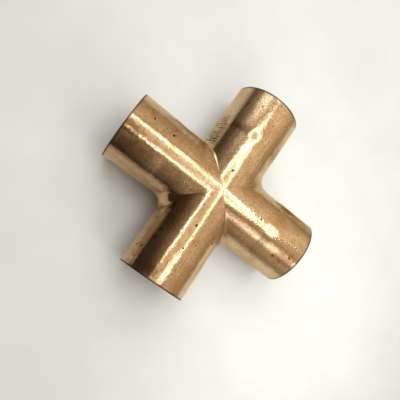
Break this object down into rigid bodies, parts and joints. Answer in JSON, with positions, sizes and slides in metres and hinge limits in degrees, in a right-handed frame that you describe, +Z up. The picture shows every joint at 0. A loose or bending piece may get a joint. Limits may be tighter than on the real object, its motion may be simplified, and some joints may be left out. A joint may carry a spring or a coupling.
{
  "type": "cross fitting",
  "caption": "Equal cross fitting in bare copper: mitred tube arms in one plane, brazed in the crotches, each ending in a capillary socket with a tube stop.",
  "frame": {"origin": "point where the two bore axes cross, at the centre of the cross", "axes": "+X along the right arm and +Y along the rear arm, both out of a socket's mouth; +Z up, square to the plane of the arms, the fitting lying flat"},
  "size_m": [0.0904, 0.0904, 0.0302],
  "materials": {
    "copper": "bare drawn copper, semi-bright, lightly tarnished",
    "braze": "copper-phosphorus braze, dressed smooth"
  },
  "bodies": {
    "root": {"right_arm": "copper", "rear_arm": "copper", "left_arm": "copper", "front_arm": "copper", "rear_right_seam": "braze", "rear_left_seam": "braze", "front_left_seam": "braze", "front_right_seam": "braze"}
  },
  "joints": []
}
